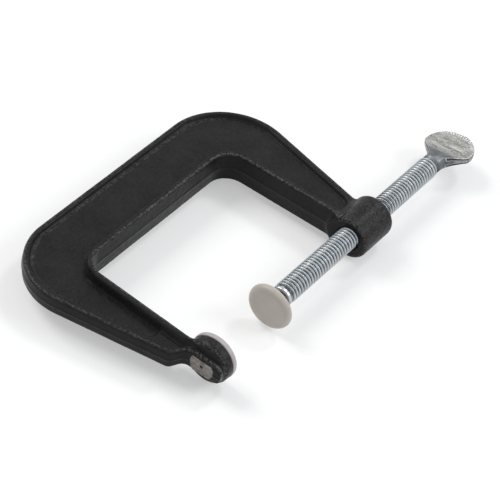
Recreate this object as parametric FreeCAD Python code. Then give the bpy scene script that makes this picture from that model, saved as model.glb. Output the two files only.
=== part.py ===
import FreeCAD, Part
import math
import os

# A small screw clamp with a C-shaped cast frame, lying flat.
# Millimetres.  +X runs along the screw from the fixed jaw towards the paddle head,
# +Y runs from the screw towards the spine of the frame, +Z is square to the flat of the frame.
# The origin is the centre of the fixed pad's clamping face.

# Frame, seen flat
SPINE_OUTER_Y = 74.2        # outer edge of the spine
SPINE_INNER_Y = 51.6        # throat edge of the spine
FIXED_ARM_OUTER_X = -21.45  # outer edge of the fixed arm, level with the throat edge
FIXED_ARM_INNER_X = -3.1    # throat edge of the fixed arm, level with the throat edge
SCREW_ARM_INNER_X = 70.6    # throat edge of the screw arm, level with the throat edge
SCREW_ARM_OUTER_X = 94.7    # outer edge of the screw arm, level with the throat edge
FIXED_OUTER_SLOPE = 0.193   # taper of each arm edge, in X for each unit of Y
FIXED_INNER_SLOPE = 0.030
SCREW_INNER_SLOPE = 0.035
SCREW_OUTER_SLOPE = 0.211
FAR_CORNER_R = 24.0         # outer corner of spine and screw arm
NEAR_CORNER_R = 21.5        # outer corner of spine and fixed arm
INNER_CORNER_R = 7.2
STEP_TOP_Y = 8.7            # where the fixed arm's outer edge turns in to the jaw
STEP_LOW_Y = 6.2            # where that turn meets the jaw's back
STEP_CORNER_R = 2.6

# Frame, cross-section
LIP_HALF = 3.5              # half thickness at the outer lip and the jaw
WEB_HALF = 2.3              # half thickness of the sunk web
RAIL_HALF = 5.8             # half height of the rail round the throat
RAIL_WIDTH = 1.8            # top of the rail
LIP_WIDTH_SPINE = 1.9       # top of the outer lip
LIP_WIDTH_ARM = 2.5
OUTER_DRAFT = 0.25          # each side wall leans in by this much from the parting plane
RAIL_DRAFT = 0.45
POCKET_DRAFT = 0.45         # lean of the web pocket's wall along the lip
RAIL_FOOT = 1.0             # lean of the rail's wall down to the web
POCKET_FIXED_END_Y = 16.6   # rounded ends of the web pocket
POCKET_SCREW_END_Y = 9.0
POCKET_CORNER_R = 2.4
LIP_ROUND = 0.8             # rounded edge of the outer lip
RAIL_ROUND = 0.6            # rounded edges of the rail's top

# Round bosses of the frame
BOSS_R = 7.75
BOSS_FRONT_X = 70.7
BOSS_LENGTH = 16.5
BOSS_FRONT_ROUND = 0.8
BOSS_BACK_ROUND = 1.5
JAW_BOSS_LENGTH = 4.0
JAW_BOSS_R = 8.0
JAW_BOSS_ROUND = 1.8
JAW_SHELF = 2.3             # thickness of the flat jaw plate behind the round boss
JAW_TIP_R = 7.4
SPOT_FACE_R = 4.6
SPOT_FACE_DEPTH = 0.3
CENTRE_DRILL_R = 0.6
CENTRE_DRILL_DEPTH = 0.8

# Fixed pad
FIXED_PAD_R = 8.25
FIXED_PAD_THICK = 2.0
FIXED_PAD_ROUND = 0.6
FIXED_STEM_R = 2.5
FIXED_STEM_LENGTH = 3.4
STEM_ROUND = 0.4
STEM_END_CLEARANCE = 0.3
PRESS_FIT = 0.02

# Screw thread, 5/16 inch, 18 turns per inch, right-handed
PITCH = 25.4 / 18
CREST_R = 3.93
THREAD_DEPTH = 0.80
CREST_FLAT = PITCH / 8
FLANK_SLOPE = math.tan(math.radians(30))
THREAD_GAP = 0.12           # clearance square to the flanks between screw and frame
BORE_CREST_R = 3.32
MOUTH_CHAMFER = 0.7

# Jaw opening in the drawn position, and the stack on the end of the screw
OPENING = 26.1              # fixed pad face to swivel pad face
SWIVEL_PAD_R = 8.25
SWIVEL_PAD_THICK = 2.8
SWIVEL_FRONT_ROUND = 1.2
SWIVEL_BACK_ROUND = 0.8
BALL_R = 2.5
BALL_CENTRE_BACK = 3.8      # ball centre behind the pad's face
SOCKET_GAP = 0.08
THROAT_R = 2.12             # mouth that keeps the ball in
DOME_R = 3.9
DOME_MOUTH_R = 2.5
NECK_R = 1.75
WASHER_R = 3.9
WASHER_THICK = 1.5
WASHER_BORE_GAP = 0.09
WASHER_FRONT_GAP = 0.25     # dome to washer
WASHER_ROUND = 0.3
SHOULDER_GAP = 0.12         # washer to the screw's shoulder
TIP_CHAMFER = 0.75

# Head end of the screw
THREAD_END_X = 120.3
ROD_R = 3.62
PADDLE_CENTRE_X = 132.8
PADDLE_R = 9.2
PADDLE_HALF = 1.1
PADDLE_CORNER_X = 131.4     # where the round rim meets the straight shoulders
PADDLE_ROOT_X = 127.2       # where the shoulders meet the neck
PADDLE_ROOT_HALF = 4.9
PADDLE_TURN = -7.6          # turn of the paddle about the screw in the drawn position
PADDLE_EDGE = 0.3           # rounded edge round the rim
HEAD_TAPER = 1.6            # run-out of the thread at the head
NECK_TOP_HALF = 2.7         # half thickness of the forged neck half way

OVERLAP = 0.5               # how far joined shapes run into each other

FIXED_PAD_BACK_X = -FIXED_PAD_THICK
JAW_BACK_X = FIXED_PAD_BACK_X - JAW_BOSS_LENGTH - JAW_SHELF + 0.1
PAD_FACE_X = OPENING
BALL_X = PAD_FACE_X + BALL_CENTRE_BACK
DOME_END_X = BALL_X + math.sqrt(DOME_R ** 2 - DOME_MOUTH_R ** 2)
WASHER_FRONT_X = DOME_END_X + WASHER_FRONT_GAP
WASHER_BACK_X = WASHER_FRONT_X + WASHER_THICK
SHOULDER_X = WASHER_BACK_X + SHOULDER_GAP
THREAD_ROOT_R = CREST_R - THREAD_DEPTH
BOSS_BACK_X = BOSS_FRONT_X + BOSS_LENGTH
AXIS = FreeCAD.Vector(1, 0, 0)
ORIGIN = FreeCAD.Vector(0, 0, 0)


def vec(x, y, z=0.0):
    return FreeCAD.Vector(x, y, z)


def line_meet(p, d, q, e):
    """Point where the line through p along d meets the line through q along e."""
    cross = d.x * e.y - d.y * e.x
    t = ((q.x - p.x) * e.y - (q.y - p.y) * e.x) / cross
    return vec(p.x + d.x * t, p.y + d.y * t)


def inset(points, amounts):
    """Corners of a polygon whose edges are each moved inwards by their own amount.

    The polygon runs anticlockwise; edge i goes from corner i to corner i + 1.
    """
    n = len(points)
    moved = []
    for i in range(n):
        a = vec(*points[i])
        d = (vec(*points[(i + 1) % n]) - a).normalize()
        moved.append((a + vec(-d.y, d.x) * amounts[i], d))
    corners = []
    for i in range(n):
        meet = line_meet(moved[i - 1][0], moved[i - 1][1], moved[i][0], moved[i][1])
        corners.append((meet.x, meet.y))
    return corners


def rounded_wire(points, radii, z):
    """Closed wire at height z through the corners, each rounded by its radius."""
    n = len(points)
    edges = []
    last = None
    first = None
    for i in range(n):
        c = vec(points[i][0], points[i][1], z)
        u = (vec(*points[i - 1], z) - c).normalize()
        v = (vec(*points[(i + 1) % n], z) - c).normalize()
        r = radii[i]
        if r <= 0:
            start = end = c
        else:
            half = math.acos(max(-1.0, min(1.0, u.dot(v)))) / 2
            reach = r / math.tan(half)
            start = c + u * reach
            end = c + v * reach
            mid_dir = (u + v).normalize()
            middle = c + mid_dir * (r / math.sin(half) - r)
        if last is not None and (start - last).Length > 1e-6:
            edges.append(Part.makeLine(last, start))
        if r > 0:
            edges.append(Part.Arc(start, middle, end).toShape())
        if first is None:
            first = start
        last = end
    if (first - last).Length > 1e-6:
        edges.append(Part.makeLine(last, first))
    return Part.Wire(edges)


def prism(low, high):
    """Solid between two matching wires."""
    return Part.makeLoft([low, high], True, True)


def mirrored(shape):
    return shape.mirror(ORIGIN, vec(0, 0, 1))


def edge_x(x_level, slope, y):
    """X of an arm's edge at height y, from its X level with the throat edge."""
    return x_level + slope * (SPINE_INNER_Y - y)


def plate_corners():
    """Outline of the frame's plate, anticlockwise from the screw arm's outer end."""
    return [
        (edge_x(SCREW_ARM_OUTER_X, -SCREW_OUTER_SLOPE, 0), 0),
        (edge_x(SCREW_ARM_OUTER_X, -SCREW_OUTER_SLOPE, SPINE_OUTER_Y), SPINE_OUTER_Y),
        (edge_x(FIXED_ARM_OUTER_X, FIXED_OUTER_SLOPE, SPINE_OUTER_Y), SPINE_OUTER_Y),
        (edge_x(FIXED_ARM_OUTER_X, FIXED_OUTER_SLOPE, STEP_TOP_Y), STEP_TOP_Y),
        (JAW_BACK_X, STEP_LOW_Y),
        (JAW_BACK_X, 0),
        (edge_x(FIXED_ARM_INNER_X, -FIXED_INNER_SLOPE, 0), 0),
        (FIXED_ARM_INNER_X, SPINE_INNER_Y),
        (SCREW_ARM_INNER_X, SPINE_INNER_Y),
        (edge_x(SCREW_ARM_INNER_X, SCREW_INNER_SLOPE, 0), 0),
    ]


# Edge numbers follow plate_corners: 0 screw arm outer, 1 spine outer, 2 fixed arm outer,
# 3 step, 4 jaw back, 5 jaw end, 6 fixed arm inner, 7 spine inner, 8 screw arm inner, 9 end.
PLATE_RADII = [0, FAR_CORNER_R, NEAR_CORNER_R, STEP_CORNER_R, STEP_CORNER_R, 0, 0,
               INNER_CORNER_R, INNER_CORNER_R, 0]
OUTSIDE = (1, 1, 1, 1, 1, 0, 0, 0, 0, 0)
INSIDE = (0, 0, 0, 0, 0, 0, 1, 1, 1, 0)


def plate_wire(lean, z):
    """The plate's outline at height z with its outer walls moved in by lean."""
    amounts = [lean * s for s in OUTSIDE]
    radii = list(PLATE_RADII)
    for corner in (1, 2, 3):
        radii[corner] -= lean
    radii[4] += lean
    return rounded_wire(inset(plate_corners(), amounts), radii, z)


def soften(solid, z_level, radius):
    """Fillet the edges that lie at height z_level, away from the open ends at y = 0."""
    chosen = []
    for edge in solid.Edges:
        box = edge.BoundBox
        if box.ZLength < 1e-6 and abs(box.ZMin - z_level) < 1e-6 and box.YMax > OVERLAP:
            chosen.append(edge)
    return solid.makeFillet(radius, chosen)


def plate():
    half = prism(plate_wire(0, 0), plate_wire(OUTER_DRAFT, LIP_HALF))
    half = soften(half, LIP_HALF, LIP_ROUND)
    return half.fuse(mirrored(half)).removeSplitter()


def pocket_corners(lip_extra, rail_extra):
    """Outline of the sunk web, anticlockwise from the screw arm's outer end."""
    corners = plate_corners()
    lip = LIP_WIDTH_ARM + OUTER_DRAFT + lip_extra
    spine_lip = LIP_WIDTH_SPINE + OUTER_DRAFT + lip_extra
    rail = RAIL_WIDTH + RAIL_DRAFT + rail_extra
    shape = [corners[0], corners[1], corners[2],
             (edge_x(FIXED_ARM_OUTER_X, FIXED_OUTER_SLOPE, 0), 0),
             corners[6], corners[7], corners[8], corners[9]]
    ends_fixed = POCKET_FIXED_END_Y + lip_extra
    ends_screw = POCKET_SCREW_END_Y + lip_extra
    amounts = [lip, spine_lip, lip, ends_fixed, rail, rail, rail, ends_screw]
    return inset(shape, amounts)


def pocket_wire(lip_extra, rail_extra, z):
    far = FAR_CORNER_R - LIP_WIDTH_ARM - OUTER_DRAFT - lip_extra
    near = NEAR_CORNER_R - LIP_WIDTH_ARM - OUTER_DRAFT - lip_extra
    inner = INNER_CORNER_R + RAIL_WIDTH + RAIL_DRAFT + rail_extra
    end = POCKET_CORNER_R - lip_extra
    radii = [end, far, near, end, end, inner, inner, end]
    return rounded_wire(pocket_corners(lip_extra, rail_extra), radii, z)


def pocket():
    """Material taken out on one face of the plate, leaving the web."""
    top = LIP_HALF + OVERLAP
    rise = (top - WEB_HALF) / (LIP_HALF - WEB_HALF)
    rail_rise = (top - WEB_HALF) / (RAIL_HALF - WEB_HALF)
    foot = pocket_wire(POCKET_DRAFT, RAIL_FOOT, WEB_HALF)
    mouth = pocket_wire(POCKET_DRAFT * (1 - rise), RAIL_FOOT * (1 - rail_rise), top)
    return prism(foot, mouth)


def rail_corners(throat_lean, web_lean):
    """Outline of the rail: the throat edge and the same edge moved into the frame."""
    corners = plate_corners()
    end = BOSS_FRONT_X + BOSS_R
    inner = [corners[6], corners[7], corners[8], corners[9]]
    depth = RAIL_WIDTH + RAIL_DRAFT + web_lean
    big = [(FIXED_ARM_INNER_X - end, 0), (FIXED_ARM_INNER_X - end, SPINE_INNER_Y + end)]
    big += [(SCREW_ARM_INNER_X + end, SPINE_INNER_Y + end), (SCREW_ARM_INNER_X + end, 0)]
    ring = inner + big[::-1]
    near = inset(ring, [throat_lean] * 3 + [0] * 5)
    far = inset(ring, [depth] * 3 + [0] * 5)
    return near[:4] + [far[3], far[2], far[1], far[0]]


def rail_wire(throat_lean, web_lean, z):
    corners = rail_corners(throat_lean, web_lean)
    near = INNER_CORNER_R + throat_lean
    far = INNER_CORNER_R + RAIL_WIDTH + RAIL_DRAFT + web_lean
    return rounded_wire(corners, [0, near, near, 0, 0, far, far, 0], z)


def rail():
    low = rail_wire(0, RAIL_FOOT * RAIL_HALF / (RAIL_HALF - WEB_HALF), 0)
    high = rail_wire(RAIL_DRAFT, 0, RAIL_HALF)
    half = soften(prism(low, high), RAIL_HALF, RAIL_ROUND)
    both = half.fuse(mirrored(half)).removeSplitter()
    reach = JAW_SHELF + SPOT_FACE_DEPTH + OVERLAP
    behind = Part.makeBox(reach, STEP_LOW_Y + OVERLAP, 2 * RAIL_HALF,
                          vec(JAW_BACK_X - JAW_SHELF, -OVERLAP, -RAIL_HALF))
    return both.cut(behind)


def turned(profile):
    """Solid of revolution about the screw axis from (x, r) points."""
    points = [vec(x, r) for x, r in profile]
    face = Part.Face(Part.makePolygon(points + points[:1]))
    return face.revolve(ORIGIN, AXIS, 360)


def cylinder(radius, x_from, x_to):
    return Part.makeCylinder(radius, x_to - x_from, vec(x_from, 0, 0), AXIS)


def round_rims(solid, radius, x_levels):
    """Fillet the full circular edges that lie at the given X levels."""
    rims = []
    for edge in solid.Edges:
        box = edge.BoundBox
        if box.XLength < 1e-6 and any(abs(box.XMin - x) < 1e-6 for x in x_levels):
            rims.append(edge)
    return solid.makeFillet(radius, rims)


def screw_boss():
    boss = cylinder(BOSS_R, BOSS_FRONT_X, BOSS_BACK_X)
    boss = round_rims(boss, BOSS_FRONT_ROUND, [BOSS_FRONT_X])
    return round_rims(boss, BOSS_BACK_ROUND, [BOSS_BACK_X])


def jaw():
    """Round boss under the fixed pad and the flat plate behind it."""
    boss_x = FIXED_PAD_BACK_X - JAW_BOSS_LENGTH
    boss = cylinder(JAW_BOSS_R, boss_x, FIXED_PAD_BACK_X)
    boss = round_rims(boss, JAW_BOSS_ROUND, [boss_x])
    tip = cylinder(JAW_TIP_R, JAW_BACK_X, boss_x + 2 * OVERLAP)
    slab = Part.makeBox(BOSS_LENGTH, JAW_TIP_R + OVERLAP, 2 * LIP_HALF,
                        vec(JAW_BACK_X, -JAW_TIP_R - OVERLAP, -LIP_HALF))
    return boss.fuse(tip.common(slab)).cut(spot_face())


def helix_turn(radius, z):
    edge = Part.makeHelix(PITCH, PITCH, radius)
    edge.translate(vec(0, 0, z))
    return edge.Edges[0]


def thread_bar(root_r, crest_r, root_flat, crest_flat, x_start, turns):
    """Closed solid of a threaded bar along X with its ridge on the shared helix."""
    flank = (PITCH - root_flat - crest_flat) / 2
    section = [(root_r, -root_flat / 2), (root_r, root_flat / 2),
               (crest_r, root_flat / 2 + flank), (crest_r, root_flat / 2 + flank + crest_flat),
               (root_r, PITCH - root_flat / 2)]
    faces = []
    for turn in range(turns):
        rise = turn * PITCH
        curves = [helix_turn(r, z + rise) for r, z in section]
        for low, high in zip(curves, curves[1:]):
            faces.append(Part.makeRuledSurface(low, high))
    for level in (0, turns * PITCH):
        spine = Part.makeLine(vec(0, 0, section[0][1] + level),
                              vec(0, 0, section[-1][1] + level))
        faces.append(Part.makeRuledSurface(helix_turn(root_r, section[0][1] + level), spine))
        outline = [vec(0, 0, section[0][1] + level)]
        outline += [vec(r, 0, z + level) for r, z in section]
        outline += [vec(0, 0, section[-1][1] + level), outline[0]]
        faces.append(Part.Face(Part.makePolygon(outline)))
    shell = Part.makeShell(faces)
    shell.sewShape(1e-4)
    solid = Part.makeSolid(Part.Shell(shell.Faces))
    if solid.Volume < 0:
        solid.reverse()
    solid.rotate(ORIGIN, vec(0, 1, 0), 90)
    solid.translate(vec(x_start, 0, 0))
    return solid


def thread_cutter():
    """Internal thread of the frame, one clearance outside the screw's thread."""
    crest_r = CREST_R + THREAD_GAP
    side = THREAD_GAP / math.cos(math.radians(30))
    crest_flat = CREST_FLAT + 2 * (side - THREAD_GAP * FLANK_SLOPE)
    width_at_crest = crest_flat + 2 * (crest_r - BORE_CREST_R) * FLANK_SLOPE
    start_turn = math.floor((BOSS_FRONT_X - SHOULDER_X) / PITCH) - 1
    turns = math.ceil(BOSS_LENGTH / PITCH) + 3
    return thread_bar(BORE_CREST_R, crest_r, PITCH - width_at_crest, crest_flat,
                      SHOULDER_X - PITCH + start_turn * PITCH, turns)


def bore_mouth(x, outward):
    """Countersink at one end of the threaded bore."""
    wide = CREST_R + THREAD_GAP + MOUTH_CHAMFER
    deep = (wide - BORE_CREST_R) * FLANK_SLOPE
    return turned([(x - outward * deep, 0), (x + outward * OVERLAP, 0),
                   (x + outward * OVERLAP, wide), (x, wide), (x - outward * deep, BORE_CREST_R)])


def spot_face():
    """Machined flat on the jaw's back with the dimple of a centre drill."""
    floor = JAW_BACK_X + SPOT_FACE_DEPTH
    flat = cylinder(SPOT_FACE_R, JAW_BACK_X - OVERLAP, floor)
    dimple = turned([(floor - SPOT_FACE_DEPTH, 0), (floor + CENTRE_DRILL_DEPTH, 0),
                     (floor, CENTRE_DRILL_R), (floor - SPOT_FACE_DEPTH, CENTRE_DRILL_R)])
    return flat.fuse(dimple)


def stem_hole():
    end = FIXED_PAD_BACK_X - FIXED_STEM_LENGTH - STEM_END_CLEARANCE
    return cylinder(FIXED_STEM_R - PRESS_FIT, end, FIXED_PAD_BACK_X + OVERLAP)


def frame():
    body = plate().cut(spot_face()).cut(pocket()).cut(mirrored(pocket()))
    body = body.fuse(rail())
    body = body.fuse(screw_boss()).fuse(jaw()).removeSplitter()
    body = body.cut(thread_cutter())
    body = body.cut(bore_mouth(BOSS_FRONT_X, -1)).cut(bore_mouth(BOSS_BACK_X, 1))
    return body.cut(stem_hole())


def anvil_pad():
    face = cylinder(FIXED_PAD_R, FIXED_PAD_BACK_X, 0)
    face = round_rims(face, FIXED_PAD_ROUND, [0.0])
    stem_end = FIXED_PAD_BACK_X - FIXED_STEM_LENGTH
    stem = cylinder(FIXED_STEM_R, stem_end, FIXED_PAD_BACK_X + OVERLAP)
    stem = round_rims(stem, STEM_ROUND, [stem_end])
    return face.fuse(stem).removeSplitter()


def swivel_pad():
    back = PAD_FACE_X + SWIVEL_PAD_THICK
    disc = cylinder(SWIVEL_PAD_R, PAD_FACE_X, back)
    disc = round_rims(disc, SWIVEL_FRONT_ROUND, [PAD_FACE_X])
    disc = round_rims(disc, SWIVEL_BACK_ROUND, [back])
    dome = Part.makeSphere(DOME_R, vec(BALL_X, 0, 0))
    dome = dome.common(cylinder(DOME_R + 1, back - OVERLAP, DOME_END_X))
    socket_r = BALL_R + SOCKET_GAP
    throat = math.sqrt(socket_r ** 2 - THROAT_R ** 2)
    mouth = turned([(BALL_X, 0), (DOME_END_X + OVERLAP, 0),
                    (DOME_END_X + OVERLAP, DOME_MOUTH_R + SOCKET_GAP), (BALL_X + throat, THROAT_R),
                    (BALL_X + throat - SOCKET_GAP, THROAT_R)])
    return disc.fuse(dome).cut(Part.makeSphere(socket_r, vec(BALL_X, 0, 0))).cut(mouth)


def thrust_washer():
    ring = cylinder(WASHER_R, WASHER_FRONT_X, WASHER_BACK_X)
    ring = round_rims(ring, WASHER_ROUND, [WASHER_FRONT_X, WASHER_BACK_X])
    bore = cylinder(NECK_R + WASHER_BORE_GAP, WASHER_FRONT_X - OVERLAP, WASHER_BACK_X + OVERLAP)
    return ring.cut(bore)


def thread_length():
    """Threaded part of the screw, chamfered at the tip and running out at the head."""
    turns = math.ceil((THREAD_END_X - SHOULDER_X) / PITCH) + 2
    root_flat = PITCH - CREST_FLAT - 2 * THREAD_DEPTH * FLANK_SLOPE
    bar = thread_bar(THREAD_ROOT_R, CREST_R, root_flat, CREST_FLAT, SHOULDER_X - PITCH, turns)
    over = CREST_R + OVERLAP
    envelope = turned([(SHOULDER_X, 0), (THREAD_END_X, 0), (THREAD_END_X, THREAD_ROOT_R),
                       (THREAD_END_X - HEAD_TAPER, over),
                       (SHOULDER_X + TIP_CHAMFER + OVERLAP, over),
                       (SHOULDER_X, CREST_R - TIP_CHAMFER)])
    return bar.common(envelope)


def screw_tip():
    """Journal and ball on the end of the screw."""
    journal = cylinder(NECK_R, BALL_X, SHOULDER_X + OVERLAP)
    return journal.fuse(Part.makeSphere(BALL_R, vec(BALL_X, 0, 0)))


def oval(x, half_width, half_thick):
    """Closed oval section of the forged neck, square to the screw axis."""
    if half_width > half_thick:
        curve = Part.Ellipse(ORIGIN, half_width, half_thick)
    else:
        curve = Part.Circle(ORIGIN, vec(0, 0, 1), half_width)
    wire = Part.Wire([curve.toShape()])
    wire.rotate(ORIGIN, vec(1, 1, 1), 120)
    wire.translate(vec(x, 0, 0))
    return wire


def paddle_outline():
    """Plan of the paddle: round rim, straight shoulders and hollow curves to the neck."""
    start = THREAD_END_X + HEAD_TAPER
    corner = math.sqrt(PADDLE_R ** 2 - (PADDLE_CORNER_X - PADDLE_CENTRE_X) ** 2)
    half = THREAD_ROOT_R
    middle = (start + PADDLE_ROOT_X) / 2
    edges = []
    for side in (1, -1):
        hollow = Part.BSplineCurve()
        hollow.interpolate([vec(start, side * half), vec(middle, side * (half + PADDLE_EDGE)),
                            vec(PADDLE_ROOT_X, side * PADDLE_ROOT_HALF)])
        edges.append(hollow.toShape())
        edges.append(Part.makeLine(vec(PADDLE_ROOT_X, side * PADDLE_ROOT_HALF),
                                   vec(PADDLE_CORNER_X, side * corner)))
    rim = Part.Arc(vec(PADDLE_CORNER_X, corner), vec(PADDLE_CENTRE_X + PADDLE_R, 0),
                   vec(PADDLE_CORNER_X, -corner))
    edges.append(rim.toShape())
    edges.append(Part.makeLine(vec(start, -half), vec(start, half)))
    return Part.Wire(Part.__sortEdges__(edges))


def blade():
    """Flat of the paddle with its rim edges rounded."""
    flat = Part.Face(paddle_outline()).extrude(vec(0, 0, 2 * PADDLE_HALF))
    flat.translate(vec(0, 0, -PADDLE_HALF))
    rim = []
    for edge in flat.Edges:
        box = edge.BoundBox
        if box.ZLength < 1e-6 and box.XMin > PADDLE_ROOT_X - OVERLAP:
            rim.append(edge)
    return flat.makeFillet(PADDLE_EDGE, rim)


def neck():
    """Forged neck that flattens from the rod to the paddle."""
    run = PADDLE_ROOT_X - THREAD_END_X
    sections = [(THREAD_END_X - HEAD_TAPER, THREAD_ROOT_R, THREAD_ROOT_R),
                (THREAD_END_X, ROD_R, ROD_R - PADDLE_EDGE / 2),
                (THREAD_END_X + run / 2, ROD_R + PADDLE_EDGE, NECK_TOP_HALF),
                (PADDLE_ROOT_X, ROD_R + PADDLE_EDGE, PADDLE_HALF + PADDLE_EDGE),
                (PADDLE_CORNER_X - OVERLAP, ROD_R - PADDLE_EDGE, PADDLE_HALF - PADDLE_EDGE)]
    return Part.makeLoft([oval(*s) for s in sections], True, False)


def paddle():
    """Paddle head and neck, turned to the drawn position."""
    head = blade().fuse(neck())
    head.rotate(ORIGIN, AXIS, PADDLE_TURN)
    return head


def screw():
    return thread_length().fuse(screw_tip()).fuse(paddle())


def write(name, shape):
    """Save one solid under its node name."""
    solid = shape.Solids[0]
    print(name, len(shape.Solids), solid.isValid(), round(solid.Volume, 1))
    solid.exportStep(os.path.join("parts", name + ".step"))


def main():
    os.makedirs("parts", exist_ok=True)
    write("frame", frame())
    write("anvil_pad", anvil_pad())
    write("swivel_pad", swivel_pad())
    write("thrust_washer", thrust_washer())
    write("screw", screw())


main()
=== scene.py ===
"""Dressed model of a small cast C-clamp that lies on a white table.

Lengths inside this file are millimetres in the frame's own axes: +X along the screw from the
fixed jaw to the paddle, +Y from the screw to the spine, +Z up. Meshes are written in metres.
"""
import logging
import math
from dataclasses import dataclass
from enum import Enum

import bmesh
import bpy
import numpy as np
from mathutils import Matrix, Vector


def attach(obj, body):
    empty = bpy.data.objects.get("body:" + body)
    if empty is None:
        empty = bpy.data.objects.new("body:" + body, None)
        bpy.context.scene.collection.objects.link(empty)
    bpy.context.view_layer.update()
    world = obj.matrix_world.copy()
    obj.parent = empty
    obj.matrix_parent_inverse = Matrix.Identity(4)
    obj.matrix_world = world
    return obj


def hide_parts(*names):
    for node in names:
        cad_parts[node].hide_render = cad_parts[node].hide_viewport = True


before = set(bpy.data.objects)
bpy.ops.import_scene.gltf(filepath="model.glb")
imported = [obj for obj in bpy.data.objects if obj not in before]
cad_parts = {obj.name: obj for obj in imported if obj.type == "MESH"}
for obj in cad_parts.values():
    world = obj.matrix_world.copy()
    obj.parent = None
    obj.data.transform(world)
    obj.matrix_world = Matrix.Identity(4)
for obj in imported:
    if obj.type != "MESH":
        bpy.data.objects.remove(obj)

LOG = logging.getLogger("clamp")
STEPS = 72                      # points round every turned surface
PITCH = 25.4 / 18
THREAD_START = 33.35221         # where the ridge line starts, one turn before the shoulder
BETWEEN_ARMS = 30.0             # an X in the throat: the fixed arm is below it


class Slot(Enum):
    """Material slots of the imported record."""

    FRAME = "frame_paint"
    FIXED_PAD = "fixed_pad_plastic"
    SWIVEL_PAD = "swivel_pad_plastic"
    WASHER = "washer_steel"
    SCREW = "screw_zinc"


class Body(Enum):
    """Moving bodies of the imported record."""

    FRAME = "body"
    THRUST = "thrust"
    SPINDLE = "spindle"
    PAD = "pad"


# Shapes on a grid

@dataclass
class Sheet:
    """Points with the quads that join them, and two colour values for each point: a share of
    lighter colour and a zone.
    """

    points: np.ndarray
    quads: np.ndarray
    lighter_share: np.ndarray = None
    zone: np.ndarray = None

    def __post_init__(self) -> None:
        """Gives every point a lighter-colour share and a zone value of zero where none is stated.
        """
        if self.lighter_share is None:
            self.lighter_share = np.zeros(len(self.points))
        if self.zone is None:
            self.zone = np.zeros(len(self.points))


def weave(points: np.ndarray, round_rows: bool, round_columns: bool) -> Sheet:
    """Joins a grid of points to quads: each cell takes its four neighbours.

    Args:
        points: array of rows, columns and 3 coordinates.
        round_rows: whether the last row joins the first.
        round_columns: whether the last column joins the first.

    Returns:
        The sheet, with its points in row order.
    """
    rows, columns = points.shape[:2]
    i = np.arange(rows if round_rows else rows - 1)[:, None]
    j = np.arange(columns if round_columns else columns - 1)[None, :]
    i2, j2 = (i + 1) % rows, (j + 1) % columns
    quads = np.stack([i * columns + j, i2 * columns + j, i2 * columns + j2,
                      i * columns + j2], axis=-1)
    return Sheet(points.reshape(-1, 3), quads.reshape(-1, 4))


def together(*sheets: Sheet) -> Sheet:
    """Puts several sheets into one.

    Args:
        sheets: the sheets, in any order.

    Returns:
        One sheet with all their points and quads.
    """
    starts = np.cumsum([0] + [len(s.points) for s in sheets])
    return Sheet(np.concatenate([s.points for s in sheets]),
                 np.concatenate([s.quads + n for s, n in zip(sheets, starts)]),
                 np.concatenate([s.lighter_share for s in sheets]),
                 np.concatenate([s.zone for s in sheets]))


def ease(t: np.ndarray) -> np.ndarray:
    """Goes from 0 to 1 with level ends: 3t^2 - 2t^3, with t held between 0 and 1."""
    t = np.clip(t, 0.0, 1.0)
    return t * t * (3.0 - 2.0 * t)


def soft_min(a: np.ndarray, b: np.ndarray, width: float) -> np.ndarray:
    """Smaller of two fields, with the crease between them rounded over a width.

    Args:
        a: first field.
        b: second field.
        width: difference below which the two fields blend.

    Returns:
        min(a, b) less a quarter of h squared times the width, h being how near they are.
    """
    h = np.maximum(width - np.abs(a - b), 0.0) / width
    return np.minimum(a, b) - h * h * width / 4.0


def fillet_reach(distance: np.ndarray, width: float) -> np.ndarray:
    """How far a hollow fillet stands off one wall at a distance from the other wall.

    The roots of the two distances add up to the root of the fillet's width.

    Args:
        distance: distance from the other wall.
        width: how far the fillet runs along each wall.

    Returns:
        The stand-off, which is 0 beyond the width and the full width at the other wall.
    """
    d = np.clip(distance, 0.0, width)
    return (math.sqrt(width) - np.sqrt(d)) ** 2


def ripple(u: np.ndarray, v: np.ndarray, size: float, seed: int) -> np.ndarray:
    """Uneven waves of a sand-cast skin: a sum of nine sines in spread directions.

    Args:
        u: first coordinate.
        v: second coordinate.
        size: wavelength of the longest wave.
        seed: picks the directions and phases.

    Returns:
        Heights between about -1 and 1.
    """
    rng = np.random.default_rng(seed)
    total = np.zeros(np.broadcast(u, v).shape)
    for n in range(9):
        angle, phase = rng.uniform(0.0, 2.0 * math.pi, 2)
        wave = size / (1.0 + 0.45 * n)
        along = u * math.cos(angle) + v * math.sin(angle)
        total += np.sin(2.0 * math.pi * along / wave + phase) / (1.0 + 0.25 * n)
    return total / 4.0


def rounded_profile(corners: list, radii: list, steps: int = 6) -> np.ndarray:
    """Profile line with its corners rounded by arcs.

    Args:
        corners: (x, r) points in order.
        radii: one radius for each corner, 0 for a sharp one.
        steps: points on each arc less one.

    Returns:
        Array of (x, r) points. Each arc is sampled evenly from tangent to tangent.
    """
    pts = np.asarray(corners, float)
    out = [pts[:1]]
    for a, b, c, r in zip(pts, pts[1:], pts[2:], radii[1:-1]):
        if r <= 0.0:
            out.append(b[None])
            continue
        u, v = (a - b) / np.linalg.norm(a - b), (c - b) / np.linalg.norm(c - b)
        half = math.acos(np.clip(u @ v, -1.0, 1.0)) / 2.0
        centre = b + (u + v) / np.linalg.norm(u + v) * r / math.sin(half)
        first, last = b + u * r / math.tan(half) - centre, b + v * r / math.tan(half) - centre
        turn = math.atan2(first[0] * last[1] - first[1] * last[0], first @ last)
        t = np.linspace(0.0, turn, steps + 1)[:, None]
        side = np.array([-first[1], first[0]])
        out.append(centre + first * np.cos(t) + side * np.sin(t))
    out.append(pts[-1:])
    return np.concatenate(out)


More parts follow.
